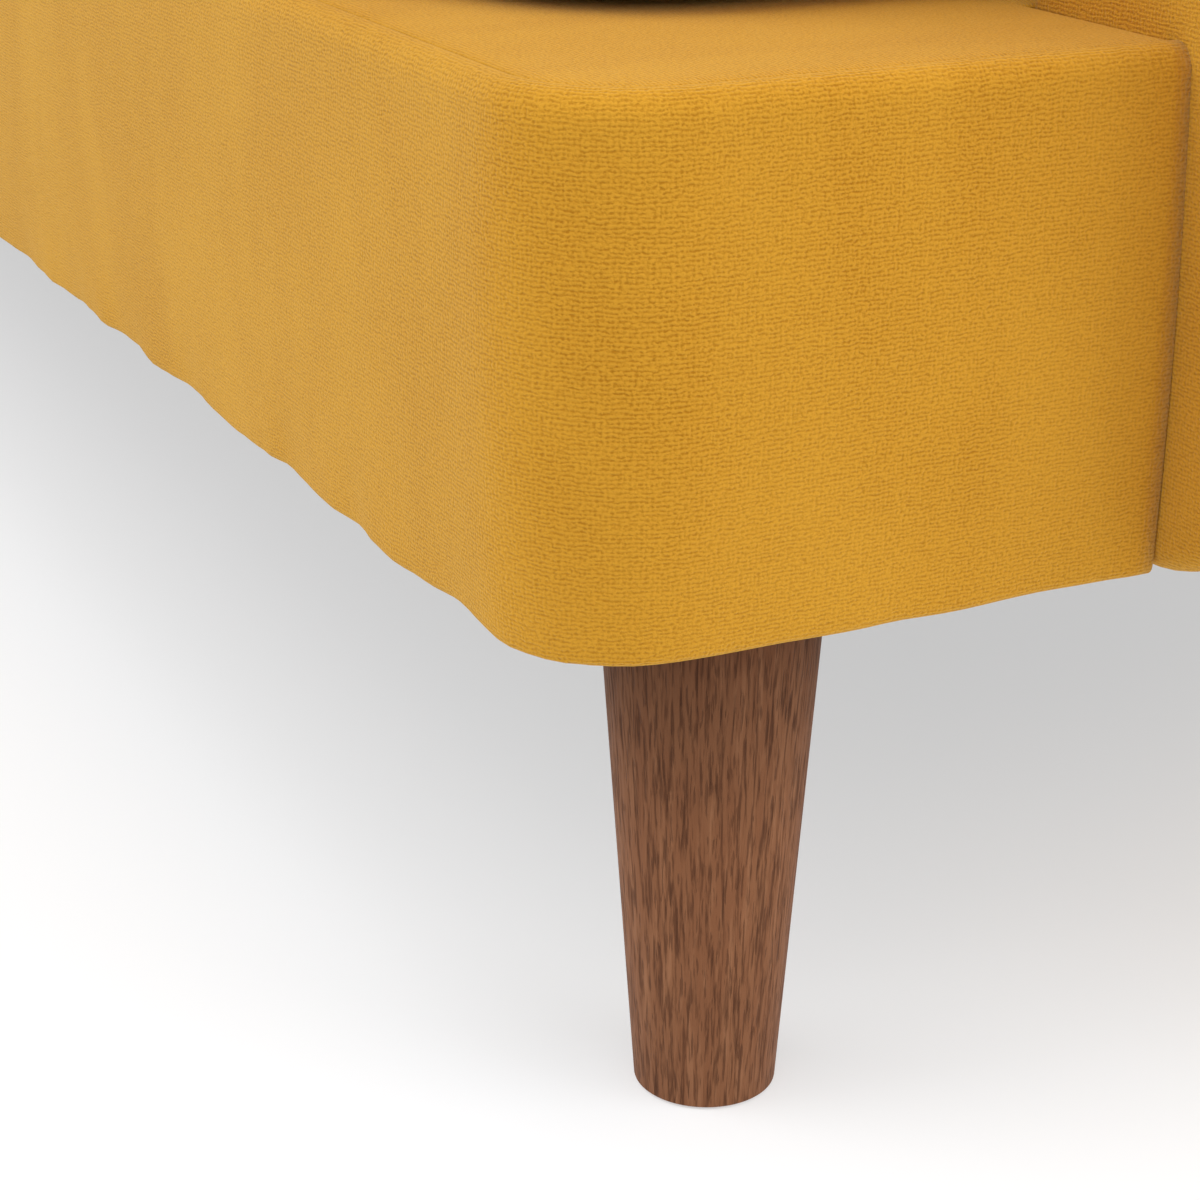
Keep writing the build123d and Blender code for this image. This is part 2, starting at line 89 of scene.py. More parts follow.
soft_lamp("front_lamp", (-0.3, -2.9, 2.6), CORNER_OF_BASE, 2.4, 46.0)
soft_lamp("side_lamp", (4.2, 0.5, 1.7), CORNER_OF_BASE, 2.0, 14.0)
soft_lamp("near_side_lamp", (1.8, 0.55, 0.95), CORNER_OF_BASE, 0.8, 6.3)
soft_lamp("top_lamp", (1.3, -0.9, 3.1), CORNER_OF_BASE, 2.5, 44.0)


def blank(name, roughness):
    """A new material, its node tree and its surface shader."""
    material = bpy.data.materials.new(name)
    material.use_nodes = True
    surface = material.node_tree.nodes["Principled BSDF"]
    surface.inputs["Roughness"].default_value = roughness
    return material, material.node_tree, surface


floor_paint, _, floor_surface = blank("floor_paint", 0.9)
floor_surface.inputs["Base Color"].default_value = (0.46, 0.46, 0.465, 1.0)
floor_surface.inputs["Specular IOR Level"].default_value = 0.1
floor_surface.inputs["Emission Color"].default_value = (1.0, 1.0, 1.0, 1.0)
floor_surface.inputs["Emission Strength"].default_value = 0.51
bm = bmesh.new()
bmesh.ops.create_grid(bm, x_segments=1, y_segments=1, size=FLOOR_HALF)
floor_mesh = bpy.data.meshes.new("floor")
bm.to_mesh(floor_mesh)
bm.free()
floor_mesh.materials.append(floor_paint)
floor = bpy.data.objects.new("floor", floor_mesh)
scene.collection.objects.link(floor)


# The timber frame: pale softwood boards, butted and screwed, each with its grain along its
# length. The boards come straight from the frame and only get their finish here.
def put(tree, kind, inputs, **settings):
    """Add a shader node, link or set its inputs, and return it."""
    made = tree.nodes.new(kind)
    for key, value in settings.items():
        setattr(made, key, value)
    for key, value in inputs.items():
        if isinstance(value, bpy.types.NodeSocket):
            tree.links.new(value, made.inputs[key])
        else:
            made.inputs[key].default_value = value
    return made


def scaled(tree, scale, weave=False):
    """Coordinates on the piece, or along its weave, times a scale."""
    if weave:
        where = put(tree, "ShaderNodeUVMap", {}, uv_map="weave").outputs[0]
    else:
        where = put(tree, "ShaderNodeTexCoord", {}).outputs["Object"]
    return put(tree, "ShaderNodeMapping", {"Vector": where, "Scale": scale}).outputs[0]


def grainy(tree, where, detail=3.0, rough=0.55, twist=0.0):
    """A soft random value between 0 and 1."""
    inputs = {"Vector": where, "Scale": 1.0, "Detail": detail, "Roughness": rough, "Distortion": twist}
    return put(tree, "ShaderNodeTexNoise", inputs).outputs[0]


def sums(tree, operation, first, second):
    """Two values joined by one sum."""
    return put(tree, "ShaderNodeMath", {0: first, 1: second}, operation=operation).outputs[0]


def spread(tree, value, low, high, out_low=0.0, out_high=1.0):
    """A value's range from low to high, eased and spread over another range."""
    inputs = {0: value, 1: low, 2: high, 3: out_low, 4: out_high}
    made = put(tree, "ShaderNodeMapRange", inputs, interpolation_type="SMOOTHSTEP")
    return made.outputs[0]


def grey(tree, value):
    """A value as a grey."""
    return put(tree, "ShaderNodeCombineColor", {0: value, 1: value, 2: value}).outputs[0]


def mixed(tree, share, first, second, way="MIX"):
    """Two colours mixed by a share."""
    inputs = {0: share, 6: first, 7: second}
    return put(tree, "ShaderNodeMix", inputs, data_type="RGBA", blend_type=way).outputs[2]


def raised(tree, surface, height, deep, strength):
    """A fine relief on the surface."""
    inputs = {"Height": height, "Distance": deep, "Strength": strength}
    tree.links.new(put(tree, "ShaderNodeBump", inputs).outputs[0], surface.inputs["Normal"])


def timber(name, along):
    """Sawn softwood with its grain along one axis, 0 to 2 for X to Z."""
    material, tree, surface = blank(name, 0.7)
    broad = [22.0, 22.0, 22.0]
    broad[along] = 1.6
    fine = [420.0, 420.0, 420.0]
    fine[along] = 9.0
    figure = grainy(tree, scaled(tree, broad), 4.0, 0.6, 1.2)
    fibre = grainy(tree, scaled(tree, fine), 3.0)
    rings = spread(tree, figure, 0.35, 0.65)
    colour = mixed(tree, rings, (0.55, 0.36, 0.18, 1.0), (0.72, 0.54, 0.33, 1.0))
    shade = grey(tree, spread(tree, fibre, 0.3, 0.7, 0.78, 1.0))
    tree.links.new(mixed(tree, 1.0, colour, shade, "MULTIPLY"), surface.inputs["Base Color"])
    raised(tree, surface, fibre, 0.0004, 0.35)
    return material


def dress(node, material):
    """Give a node of the frame its finish."""
    mesh_slots = bpy.data.objects[node].material_slots
    if len(mesh_slots):
        mesh_slots[0].material = material
    else:
        bpy.data.objects[node].data.materials.append(material)


timbers = [timber(f"softwood_{'xyz'[axis]}", axis) for axis in range(3)]
slots = {part["node"]: part["material_slot"] for part in frame["record"]["subparts"]}
for node in [name for name, slot in slots.items() if slot == "frame_timber"]:
    low, high = (Vector(corner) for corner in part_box(node))
    span = high - low
    dress(node, timbers[max(range(3), key=lambda axis: span[axis])])


# The suspension and fixings: oiled spring wire with bent clips and tie wires, zinc-plated
# bolts, dark nylon glides, woven elastic straps in the back and hardboard in the arms.
def steel(name, colour, rough_low, rough_high):
    """Bare or plated steel with a slightly uneven polish."""
    material, tree, surface = blank(name, rough_low)
    surface.inputs["Metallic"].default_value = 1.0
    cloud = grainy(tree, scaled(tree, (60.0, 60.0, 60.0)), 4.0)
    dark = [0.72 * part for part in colour] + [1.0]
    tree.links.new(mixed(tree, cloud, dark, list(colour) + [1.0]), surface.inputs["Base Color"])
    rough = spread(tree, cloud, 0.25, 0.75, rough_low, rough_high)
    tree.links.new(rough, surface.inputs["Roughness"])
    return material


def speckled(name, dark, light, scale, roughness):
    """A matt material of fine fibres or moulded plastic."""
    material, tree, surface = blank(name, roughness)
    speck = grainy(tree, scaled(tree, scale), 5.0, 0.65)
    share = spread(tree, speck, 0.3, 0.7)
    colour = mixed(tree, share, list(dark) + [1.0], list(light) + [1.0])
    tree.links.new(colour, surface.inputs["Base Color"])
    raised(tree, surface, speck, 0.0003, 0.4)
    return material


finishes = {
    "spring_steel": steel("oiled_wire", (0.30, 0.30, 0.31), 0.32, 0.5),
    "zinc_steel": steel("zinc_plate", (0.66, 0.65, 0.60), 0.25, 0.42),
    "glide_plastic": speckled(
        "dark_nylon", (0.03, 0.027, 0.025), (0.06, 0.055, 0.05), (900.0, 900.0, 900.0), 0.5,
    ),
    "webbing": speckled(
        "elastic_webbing", (0.05, 0.05, 0.055), (0.16, 0.16, 0.17), (500.0, 60.0, 900.0), 0.85,
    ),
    "hardboard": speckled(
        "hardboard", (0.20, 0.12, 0.06), (0.36, 0.24, 0.13), (260.0, 260.0, 260.0), 0.75,
    ),
}
for node, slot in slots.items():
    if slot in finishes:
        dress(node, finishes[slot])


# The legs: round hardwood turned to a straight taper and finished in satin walnut. A hanger
# bolt holds each one up against the base, and a glide is let into its foot.
LEG_SIDES = 112
FOOT_RADIUS = 0.0202
FOOT_EDGE = 0.0006
GLIDE_HOLE = 0.0142
GLIDE_DEEP = 0.0034
CRISP_ANGLE = 0.6  # edges sharper than this stay crisp
WALNUT_DARK = (0.088, 0.032, 0.014, 1.0)
WALNUT_MIDDLE = (0.222, 0.088, 0.038, 1.0)
WALNUT_WARM = (0.245, 0.102, 0.045, 1.0)
WALNUT_LIGHT = (0.340, 0.155, 0.074, 1.0)


def walnut():
    """Stained wood with wavy figure, long fibres and short dark pores, with painted shade that darkens
    it towards the top.
    """
    material, tree, surface = blank("satin_walnut", 0.5)
    figure = grainy(tree, scaled(tree, (110.0, 110.0, 5.0)), 3.0, 0.5, 1.6)
    fibre = grainy(tree, scaled(tree, (900.0, 900.0, 8.0)), 4.0, 0.6, 0.3)
    pore = grainy(tree, scaled(tree, (1300.0, 1300.0, 34.0)), 2.0, 0.5, 0.2)
    streak = grainy(tree, scaled(tree, (460.0, 460.0, 6.0)), 3.0, 0.55, 0.8)
    colour = mixed(tree, spread(tree, figure, 0.32, 0.68), WALNUT_MIDDLE, WALNUT_WARM)
    colour = mixed(tree, spread(tree, streak, 0.5, 0.72, 0.0, 0.55), colour, WALNUT_LIGHT)
    colour = mixed(tree, spread(tree, fibre, 0.34, 0.54, 0.8, 0.0), colour, WALNUT_DARK)
    pores = spread(tree, pore, 0.33, 0.43, 0.6, 0.0)
    colour = mixed(tree, pores, colour, WALNUT_DARK)
    # Painted shade: the colour darkens towards the top of the leg and stands in for the shade under
    # the sofa.
    height = put(tree, "ShaderNodeSeparateXYZ", {0: scaled(tree, (1.0, 1.0, 1.0))}).outputs[2]
    painted_top_shade = grey(tree, spread(tree, height, 0.07, 0.15, 1.0, 0.66))
    tree.links.new(mixed(tree, 1.0, colour, painted_top_shade, "MULTIPLY"), surface.inputs["Base Color"])
    tree.links.new(spread(tree, fibre, 0.3, 0.7, 0.70, 0.54), surface.inputs["Roughness"])
    surface.inputs["Specular IOR Level"].default_value = 0.12
    relief = sums(tree, "SUBTRACT", sums(tree, "MULTIPLY", fibre, 0.5), pores)
    raised(tree, surface, relief, 0.0004, 0.8)
    return material


def add_piece(name, bm, material):
    """Turn a bmesh into a piece of the sofa with its material."""
    for face in bm.faces:
        face.smooth = True
    for edge in bm.edges:
        edge.smooth = edge.calc_face_angle(0.0) < CRISP_ANGLE
    mesh = bpy.data.meshes.new(name)
    bm.to_mesh(mesh)
    bm.free()
    mesh.materials.append(material)
    made = bpy.data.objects.new(name, mesh)
    scene.collection.objects.link(made)
    return made


leg_walnut = walnut()
for node in [name for name, slot in slots.items() if slot == "leg_wood"]:
    low, high = (Vector(corner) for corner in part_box(node))
    centre = (low + high) / 2
    top_radius = (high.x - low.x) / 2
    bm = bmesh.new()
    bmesh.ops.create_cone(
        bm, cap_ends=True, segments=LEG_SIDES, radius1=FOOT_RADIUS, radius2=top_radius,
        depth=high.z - low.z, matrix=Matrix.Translation(centre),
    )
    rims = [edge for edge in bm.edges if abs(edge.verts[0].co.z - edge.verts[1].co.z) < FOOT_EDGE]
    bmesh.ops.bevel(
        bm, geom=rims, offset=FOOT_EDGE, affect="EDGES", segments=3, profile=0.5, material=-1,
    )
    bm.normal_update()
    foot = [face for face in bm.faces if face.normal.z < -0.99]
    bmesh.ops.inset_region(bm, faces=foot, thickness=FOOT_RADIUS - FOOT_EDGE - GLIDE_HOLE)
    bmesh.ops.inset_region(bm, faces=foot, thickness=0.0001, depth=-GLIDE_DEEP)
    leg = add_piece(f"{node}_turned", bm, leg_walnut)
    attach(leg, "frame")
    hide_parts(node)


# The border of the base: one long strip of mustard velvet over foam, pulled round the front
# and the two short sides, turned under at the foot and stapled, which puckers the lower edge.
# At the top it rolls over and is sewn to the deck.
PITCH = 0.00118  # from one row of the weave to the next
NAP_DARK = (0.400, 0.160, 0.008, 1.0)
NAP_MIDDLE = (0.615, 0.296, 0.024, 1.0)
NAP_LIGHT = (0.760, 0.400, 0.040, 1.0)
CORNER_R = 0.040
FOOT_R = 0.003
ROLL_R = 0.006
ROLL_TOP = 0.2936
SEAM_WIDE = 0.0015
SEAM_DEEP = 0.0038
TURN_UNDER = 0.012
ARM_CLEAR = 0.0008  # the base's cloth stops this far before the arm
VELVET_THICK = 0.003
CROWN = 0.0022  # how far the foam pushes the middle of the border out
SLACK = 0.0007
PUCKER = 0.0019
RIPPLE = 0.0022
HEM_TALL = 0.016  # the height that the puckers die away over
LIP_WIDE = 0.0012
WALL_ROWS = 40
COLUMN_WIDE = 0.006


def velvet():
    """Short-pile velvet with a fine ribbed weave: rows of tufts with dark pores between them."""
    material, tree, surface = blank("mustard_velvet", 0.9)
    strand = put(tree, "ShaderNodeSeparateXYZ", {0: scaled(tree, (1.0, 1.0, 1.0), weave=True)})
    wander = grainy(tree, scaled(tree, (240.0, 240.0, 1.0), weave=True), 2.0)
    drift = sums(tree, "MULTIPLY", wander, 1.5)
    rows = sums(tree, "ADD", sums(tree, "MULTIPLY", strand.outputs[1], 1.0 / PITCH), drift)
    rows = sums(tree, "SINE", sums(tree, "MULTIPLY", rows, 2 * pi), 0.0)
    columns = sums(tree, "ADD", sums(tree, "MULTIPLY", strand.outputs[0], 0.9 / PITCH), drift)
    columns = sums(tree, "SINE", sums(tree, "MULTIPLY", columns, 2 * pi), 0.0)
    tuft = grainy(tree, scaled(tree, (1.4 / PITCH, 1.5 / PITCH, 1.0), weave=True), 3.0, 0.6, 0.4)
    dash = grainy(tree, scaled(tree, (0.95 / PITCH, 1.6 / PITCH, 1.0), weave=True), 2.0, 0.5, 0.2)
    ribs = sums(tree, "ADD", sums(tree, "MULTIPLY", rows, 0.12), sums(tree, "MULTIPLY", columns, 0.04))
    height = sums(tree, "ADD", ribs, tuft)
    height = sums(tree, "ADD", height, sums(tree, "MULTIPLY", dash, 0.6))
    lit = spread(tree, height, 0.50, 0.95)
    colour = mixed(tree, lit, NAP_DARK, NAP_MIDDLE)
    nap = grainy(tree, scaled(tree, (18.0, 5.0, 1.0), weave=True), 3.0, 0.6, 0.6)
    cloud = grainy(tree, scaled(tree, (9.0, 9.0, 9.0)), 4.0, 0.6)
    stroke = sums(tree, "ADD", sums(tree, "MULTIPLY", nap, 0.55), sums(tree, "MULTIPLY", cloud, 0.45))
    colour = mixed(tree, spread(tree, stroke, 0.36, 0.66, 0.0, 0.26), colour, NAP_LIGHT)
    tree.links.new(colour, surface.inputs["Base Color"])
    surface.inputs["Specular IOR Level"].default_value = 0.06
    surface.inputs["Sheen Weight"].default_value = 0.42
    surface.inputs["Sheen Roughness"].default_value = 0.42
    surface.inputs["Sheen Tint"].default_value = (1.0, 0.78, 0.34, 1.0)
    raised(tree, surface, height, 0.00065, 0.75)
    return material


mustard_velvet = velvet()
side_x, front_y, rear_y = border_high.x, border_low.y, border_high.y - ARM_CLEAR
base_low = border_low.z
FRONT_RUN = side_x - CORNER_R
CORNER_RUN = CORNER_R * pi / 2
HALF_RUN = FRONT_RUN + CORNER_RUN + rear_y - front_y - CORNER_R


def on_border(run, inset):
    """The point of the base's outline at a distance from the middle of the front."""
    way = -1.0 if run < 0 else 1.0
    run = abs(run)
    if run < FRONT_RUN:
        return way * run, front_y + inset
    if run < FRONT_RUN + CORNER_RUN:
        turn = (run - FRONT_RUN) / CORNER_R
        reach = CORNER_R - inset
        return way * (FRONT_RUN + reach * sin(turn)), front_y + CORNER_R - reach * cos(turn)
    return way * (side_x - inset), front_y + CORNER_R + run - FRONT_RUN - CORNER_RUN


def border_section():
    """The strip's cross-section from the turned-under hem to the seam, as inset and height."""
    hem = [(TURN_UNDER - i * (TURN_UNDER - FOOT_R) / 5, base_low + 0.0004) for i in range(5)]
    turns = [i * pi / 10 for i in range(6)]
    foot = [(FOOT_R - FOOT_R * sin(a), base_low + FOOT_R - FOOT_R * cos(a)) for a in turns]
    wall_low, wall_high = base_low + FOOT_R, ROLL_TOP - ROLL_R
    wall = [(0.0, wall_low + i * (wall_high - wall_low) / WALL_ROWS) for i in range(1, WALL_ROWS)]
    roll = [(ROLL_R - ROLL_R * cos(a), wall_high + ROLL_R * sin(a)) for a in turns]
    lip = ROLL_R + LIP_WIDE
    seam = [(lip, ROLL_TOP - 0.0003), (lip + SEAM_WIDE / 2, ROLL_TOP - 0.0011)]
    seam += [(lip + wide * SEAM_WIDE, ROLL_TOP - SEAM_DEEP) for wide in (1, 4)]
    return hem + foot + wall + roll + seam


section = border_section()
section_run = [0.0]
for before, after in zip(section, section[1:]):
    section_run.append(section_run[-1] + (Vector(after) - Vector(before)).length)
WALL_END = len(section) - 9
columns_of_border = round(2 * HALF_RUN / COLUMN_WIDE)
bm = bmesh.new()
bmesh.ops.create_grid(bm, x_segments=columns_of_border, y_segments=len(section) - 1, size=1.0)
weave = bm.verts.layers.float_vector.new("weave")
for vert in bm.verts:
    run = vert.co.x * HALF_RUN
    row = round((vert.co.y + 1) / 2 * (len(section) - 1))
    inset, height = section[row]
    share = min(max((height - base_low) / (ROLL_TOP - base_low), 0.0), 1.0)
    on_wall = 1.0 if row < WALL_END else 0.0
    on_front = 1.0 if abs(run) < FRONT_RUN + CORNER_RUN / 2 else 0.35
    near_hem = on_front * exp(-((height - base_low) / HEM_TALL) ** 2)
    pucker = noise.noise(Vector((run * 30, 1.7, height * 6)))
    pucker += 0.4 * noise.noise(Vector((run * 75, 5.1, 0)))
    slack = noise.noise(Vector((run * 7, 9.3, height * 9)))
    out = on_wall * (CROWN * sin(pi * share) ** 0.8 + SLACK * slack * sin(pi * share))
    out += PUCKER * near_hem * pucker
    ripple = noise.noise(Vector((run * 24, 3.3, 0.5)))
    ripple += 0.5 * noise.noise(Vector((run * 62, 7.7, 0.5)))
    lift = RIPPLE * near_hem * ripple
    x, y = on_border(run, inset - out)
    vert[weave] = (run, section_run[row], 0.0)
    vert.co = (x, y, height + max(lift, base_low - height))
bm.normal_update()
if min(bm.faces, key=lambda face: face.calc_center_median().y).normal.y > 0:
    bmesh.ops.reverse_faces(bm, faces=bm.faces)
uv = bm.loops.layers.uv.new("weave")
for face in bm.faces:
    for loop in face.loops:
        loop[uv].uv = loop.vert[weave].xy
seam_faces = [
    i for i, face in enumerate(bm.faces)
    if min(vert.co.z for vert in face.verts) < ROLL_TOP - 0.0006
    and max(vert[weave].y for vert in face.verts) > section_run[-4]
]
border = add_piece("base_border", bm, mustard_velvet)
# Painted shade: the faces in the seam groove get a much darker velvet colour, which stands in for the
# shade inside the groove.
seam_painted_shade, _, seam_surface = blank("seam_painted_shade", 0.95)
seam_surface.inputs["Base Color"].default_value = (0.16, 0.065, 0.006, 1.0)
border.data.materials.append(seam_painted_shade)
for i in seam_faces:
    border.data.polygons[i].material_index = 1
thick = border.modifiers.new("foam_back", "SOLIDIFY")
thick.thickness = VELVET_THICK
thick.offset = -1.0
thick.use_even_offset = True
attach(border, "frame")
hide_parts("base_border_cover", "base_padding")


# The deck: a flat velvet panel over foam and felt, sewn to the border's roll all round. Its
# wings show in front of the arms, and the seat cushions lie on the rest.
DECK_LOW = 0.2890
DECK_EDGE_Z = 0.2931
DECK_EDGE_R = 0.0016
DECK_SWELL = ((0.0035, 0.0004), (0.008, 0.0002), (0.014, 0.0001))  # steps in from the edge, and up


def flat_weave(bm):
    """Lay the weave over each face along the two axes it faces least."""
    uv = bm.loops.layers.uv.new("weave")
    for face in bm.faces:
        lean = [abs(part) for part in face.normal]
        for loop in face.loops:
            co = loop.vert.co
            if lean[2] >= max(lean[0], lean[1]):
                loop[uv].uv = (co.x, co.y)
            elif lean[0] > lean[1]:
                loop[uv].uv = (co.y, co.z)
            else:
                loop[uv].uv = (co.x, co.z)


deck_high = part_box("deck_cover")[1]
seam_inset = ROLL_R + LIP_WIDE + SEAM_WIDE * 0.9
arm_in = abs(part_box("right_arm_cover")[0][0])
deck_x, deck_front = side_x - seam_inset, front_y + seam_inset
inner_x, deck_rear = arm_in - 0.0005, deck_high[1]
plan = [(-deck_x, deck_front), (deck_x, deck_front), (deck_x, rear_y), (inner_x, rear_y)]
plan += [(inner_x, deck_rear), (-inner_x, deck_rear), (-inner_x, rear_y), (-deck_x, rear_y)]
bm = bmesh.new()
corners = [bm.verts.new((x, y, DECK_LOW)) for x, y in plan]
bm.faces.new(corners)
bmesh.ops.bevel(
    bm, geom=corners[:2], offset=CORNER_R - seam_inset, affect="VERTICES", segments=12,
    profile=0.5, material=-1,
)
grown = bmesh.ops.extrude_face_region(bm, geom=bm.faces[:])["geom"]
top_verts = [item for item in grown if isinstance(item, bmesh.types.BMVert)]
bmesh.ops.translate(bm, verts=top_verts, vec=(0.0, 0.0, DECK_EDGE_Z - DECK_LOW))
bmesh.ops.recalc_face_normals(bm, faces=bm.faces[:])
top = [face for face in bm.faces if face.normal.z > 0.9]
bmesh.ops.bevel(
    bm, geom=list(top[0].edges), offset=DECK_EDGE_R, affect="EDGES", segments=3, profile=0.5,
    material=-1,
)
bm.normal_update()
top = [max((face for face in bm.faces if face.normal.z > 0.9), key=lambda face: face.calc_area())]
for wide, rise in DECK_SWELL:
    bmesh.ops.inset_region(bm, faces=top, thickness=wide, depth=rise, use_even_offset=True)
bmesh.ops.triangulate(bm, faces=top)
bm.normal_update()
flat_weave(bm)
deck = add_piece("deck_panel", bm, mustard_velvet)
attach(deck, "frame")
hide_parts("deck_cover", "deck_foam", "insulator_felt")


# The dust cover: thin black non-woven cloth stapled up under the base, drawn tight between
# the outer rails and the centre rail, where it sags a very little.
DUST_Z = 0.15165
DUST_SAG = 0.0009
DUST_THICK = 0.0004
DUST_CELL = 0.05

dust_low, dust_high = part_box("dust_cover")
bm = bmesh.new()
plan = [(dust_low[0], dust_low[1]), (dust_high[0], dust_low[1]), (dust_high[0], rear_y)]
plan += [(inner_x, rear_y), (inner_x, dust_high[1]), (-inner_x, dust_high[1])]
plan += [(-inner_x, rear_y), (dust_low[0], rear_y)]
corners = [bm.verts.new((x, y, DUST_Z)) for x, y in plan]
bm.faces.new(corners)
bmesh.ops.bevel(
    bm, geom=corners[:2], offset=CORNER_R - TURN_UNDER, affect="VERTICES", segments=6,
    profile=0.5, material=-1,
)


def cut_in_cells(bm, steps):
    """Cut a piece into cells by planes at each step along X, Y and Z."""
    for axis, step in enumerate(steps):
        if not step:
            continue
        normal = Vector((0.0, 0.0, 0.0))
        normal[axis] = 1.0
        low = min(vert.co[axis] for vert in bm.verts)
        high = max(vert.co[axis] for vert in bm.verts)
        count = round((high - low) / step)
        for i in range(1, count):
            at = normal * (low + (high - low) * i / count)
            geom = bm.verts[:] + bm.edges[:] + bm.faces[:]
            bmesh.ops.bisect_plane(bm, geom=geom, dist=1e-7, plane_co=at, plane_no=normal)


cut_in_cells(bm, (DUST_CELL, DUST_CELL, 0.0))
dust_area = sum(face.calc_area() for face in bm.faces)
for vert in bm.verts:
    across = abs(sin(pi * vert.co.x / dust_high[0]))
    down = sin(pi * (vert.co.y - dust_low[1]) / (dust_high[1] - dust_low[1]))
    vert.co.z -= DUST_SAG * across * max(down, 0.0)
bm.normal_update()
if next(iter(bm.faces)).normal.z > 0:
    bmesh.ops.reverse_faces(bm, faces=bm.faces[:])
black_cloth = speckled(
    "black_nonwoven", (0.012, 0.012, 0.013), (0.045, 0.045, 0.048), (420.0, 420.0, 420.0), 0.95,
)
dust = add_piece("dust_cover_cloth", bm, black_cloth)
thick = dust.modifiers.new("cloth", "SOLIDIFY")
thick.thickness = DUST_THICK
thick.offset = 0.0
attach(dust, "frame")
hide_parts("dust_cover")


# The arms: padded boxes with soft edges and a rounder lower outside edge, set back from the
# front of the base and bolted to its sides. Their velvet is pulled tight over foam, and a
# low heel carries each arm on under the back to the sofa's rear.
TOP_EDGE_R = 0.030
LOWER_EDGE_R = 0.060
FRONT_EDGE_R = 0.007
ARM_CELL = 0.022
ARM_DRAW = 0.7
SIDE_SWELL = 0.0045
SIDE_PULL = 0.0016
FRONT_SWELL = 0.0012
TOP_SWELL = 0.003
RAKE = radians(7.0)
RAKED_OUT = Vector((0.0, cos(RAKE), -sin(RAKE)))
BACK_THICK = 0.090
SKIRT = 0.012
FRAME_TOP_Z = 0.268
JOIN_GAP = 0.0008

back_low, back_high = (Vector(corner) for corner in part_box("back_cover"))


def back_face_y(z):
    """The y of the back's front face at a height."""
    return back_high.y - BACK_THICK - tan(RAKE) * (back_high.z - z)


def drawn_arm(side):
    """The arm's outline with its rounded corners, drawn out from its front past the back."""
    bm = bmesh.new()
    in_x, out_x = side * arm_in, side * back_high.x
    ring = ((in_x, arm_foot), (out_x, arm_foot), (out_x, arm_top), (in_x, arm_top))
    corners = [bm.verts.new((x, arm_front, z)) for x, z in ring]
    bm.faces.new(corners)
    for picked, radius, segments in ((corners[1:2], LOWER_EDGE_R, 14), (corners[2:], TOP_EDGE_R, 9)):
        bmesh.ops.bevel(
            bm, geom=picked, offset=radius, affect="VERTICES", segments=segments, profile=0.5,
            material=-1,
        )
    grown = bmesh.ops.extrude_face_region(bm, geom=bm.faces[:])["geom"]
    far_verts = [item for item in grown if isinstance(item, bmesh.types.BMVert)]
    bmesh.ops.translate(bm, verts=far_verts, vec=(0.0, ARM_DRAW, 0.0))
    return bm


def cut_off(bm, at, way):
    """Cut away all that lies beyond a plane and close the cut."""
    geom = bm.verts[:] + bm.edges[:] + bm.faces[:]
    bmesh.ops.bisect_plane(bm, geom=geom, dist=1e-7, plane_co=at, plane_no=way, clear_outer=True)
    bmesh.ops.holes_fill(bm, edges=[edge for edge in bm.edges if edge.is_boundary], sides=0)
    bmesh.ops.recalc_face_normals(bm, faces=bm.faces[:])


def arch(share):
    """A rise and fall from 0 to 1 and back, level beyond both ends."""
    return sin(pi * min(max(share, 0), 1))


arm_low, arm_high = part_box("right_arm_cover")
arm_front, arm_foot, arm_top = arm_low[1], arm_low[2], arm_high[2]
for word, side in (("left", -1), ("right", 1)):
    in_x, out_x = side * arm_in, side * back_high.x
    heel_form = drawn_arm(side)
    cut_off(heel_form, (0.0, back_face_y(0.0) + 0.0002, 0.0), -RAKED_OUT)
    cut_off(heel_form, (0.0, back_face_y(0.0) + BACK_THICK - SKIRT - JOIN_GAP, 0.0), RAKED_OUT)
    cut_off(heel_form, (0.0, 0.0, FRAME_TOP_Z - JOIN_GAP), Vector((0.0, 0.0, 1.0)))
    heel_mesh = bpy.data.meshes.new(f"{word}_arm_heel")
    heel_form.to_mesh(heel_mesh)
    heel_form.free()
    bm = drawn_arm(side)
    cut_off(bm, (0.0, back_face_y(0.0) - 0.0006, 0.0), RAKED_OUT)
    rim = [edge for edge in bm.edges if max(abs(vert.co.y - arm_front) for vert in edge.verts) < 1e-6]
    bmesh.ops.bevel(
        bm, geom=rim, offset=FRONT_EDGE_R, affect="EDGES", segments=5, profile=0.5, material=-1,
    )
    cut_in_cells(bm, (ARM_CELL, ARM_CELL, ARM_CELL))
    bm.normal_update()
    for vert in bm.verts:
        up = (vert.co.z - arm_foot) / (arm_top - arm_foot)
        back = (vert.co.y - arm_front) / (back_face_y(vert.co.z) - arm_front)
        across = (vert.co.x - in_x) / (out_x - in_x)
        pull = noise.noise(vert.co * 9) * 0.5 + noise.noise(vert.co * 21) * 0.2
        outside = max(side * vert.normal.x, 0.0) * arch(up) * arch(back)
        ahead = max(-vert.normal.y, 0.0) * arch(up) * arch(across)
        above = max(vert.normal.z, 0.0) * arch(across) * arch(back)
        swell = outside * (SIDE_SWELL + SIDE_PULL * pull) + ahead * FRONT_SWELL + above * TOP_SWELL
        vert.co += vert.normal * swell
    bm.from_mesh(heel_mesh)
    bm.normal_update()
    flat_weave(bm)
    arm = add_piece(f"{word}_arm_upholstery", bm, mustard_velvet)
    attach(arm, "frame")
    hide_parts(f"{word}_arm_cover", f"{word}_arm_padding")


# The back: a raked padded panel as wide as the sofa, standing on the base frame. Its rear
# velvet runs down over the rear rail to the foot of the base.
BACK_EDGE_R = 0.017
BACK_CELL = 0.032
REAR_SWELL = 0.005
REAR_PULL = 0.0024
BACK_TOP_SWELL = 0.002
BACK_TOP_PULL = 0.0014

